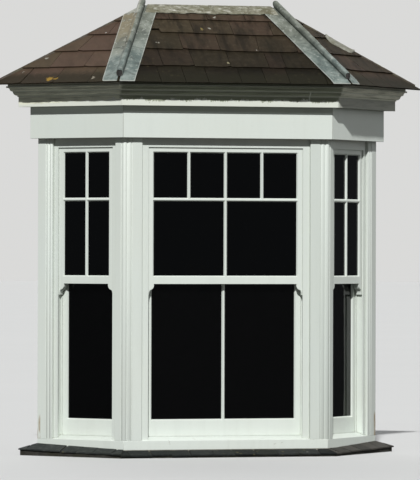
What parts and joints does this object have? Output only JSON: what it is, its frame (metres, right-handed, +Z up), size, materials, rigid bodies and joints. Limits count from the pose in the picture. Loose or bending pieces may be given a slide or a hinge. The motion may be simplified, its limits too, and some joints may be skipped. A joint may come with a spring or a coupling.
{
  "type": "sash window: three-sided bay of sash windows",
  "caption": "Canted bay of white sliding sash windows with reeded posts, deep frieze, moulded cornice and hipped slate roof with lead hip rolls.",
  "frame": {"origin": "centre of the bounding box in plan, on the underside of the slate ledge", "axes": "+X along the front to the right seen from outside, +Y into the house, +Z up"},
  "size_m": [3.1064, 0.725, 3.208],
  "materials": {
    "white_paint": "old white oil paint on softwood, satin, faintly grimed in the quirks",
    "weathered_paint": "weathered paint under grey-green grime, matt",
    "window_glass": "clear sheet glass that reads near black by day",
    "roof_slate": "riven slate with lichen, matt",
    "ledge_slate": "slate and mortar weathering, matt",
    "lead": "dressed sheet lead with a blue-grey patina",
    "brass": "lacquered brass",
    "mortar": "lime mortar, rough",
    "masonry": "rendered masonry, matt",
    "ceiling_paint": "painted board, matt",
    "bare_timber": "sawn softwood"
  },
  "bodies": {
    "root": {"abutment_fillets": "mortar", "base_plinth": "masonry", "ceiling_board": "ceiling_paint", "corner_post_left": "white_paint", "corner_post_right": "white_paint", "cornice_front": "weathered_paint", "cornice_left": "weathered_paint", "cornice_right": "weathered_paint", "frieze_front": "white_paint", "frieze_left": "white_paint", "frieze_right": "white_paint", "glass_front": "window_glass", "glass_left": "window_glass", "glass_right": "window_glass", "hip_lead_left": "lead", "hip_lead_right": "lead", "hip_rafters": "bare_timber", "hip_rolls": "bare_timber", "lower_sash_front": "white_paint", "lower_sash_left": "white_paint", "lower_sash_right": "white_paint", "rafters": "bare_timber", "ring_beam": "bare_timber", "roof_boards_front": "bare_timber", "roof_boards_left": "bare_timber", "roof_boards_right": "bare_timber", "roof_slates_front": "roof_slate", "roof_slates_left": "roof_slate", "roof_slates_right": "roof_slate", "sash_fasteners": "brass", "sill_front": "white_paint", "sill_left": "white_paint", "sill_right": "white_paint", "slate_ledge_front": "ledge_slate", "slate_ledge_left": "ledge_slate", "slate_ledge_right": "ledge_slate", "top_fillet": "mortar", "upper_sash_front": "white_paint", "upper_sash_left": "white_paint", "upper_sash_right": "white_paint", "wall_ledger": "bare_timber", "wall_post_left": "white_paint", "wall_post_right": "white_paint", "window_board": "white_paint", "window_frame_front": "white_paint", "window_frame_left": "white_paint", "window_frame_right": "white_paint"}
  },
  "joints": []
}
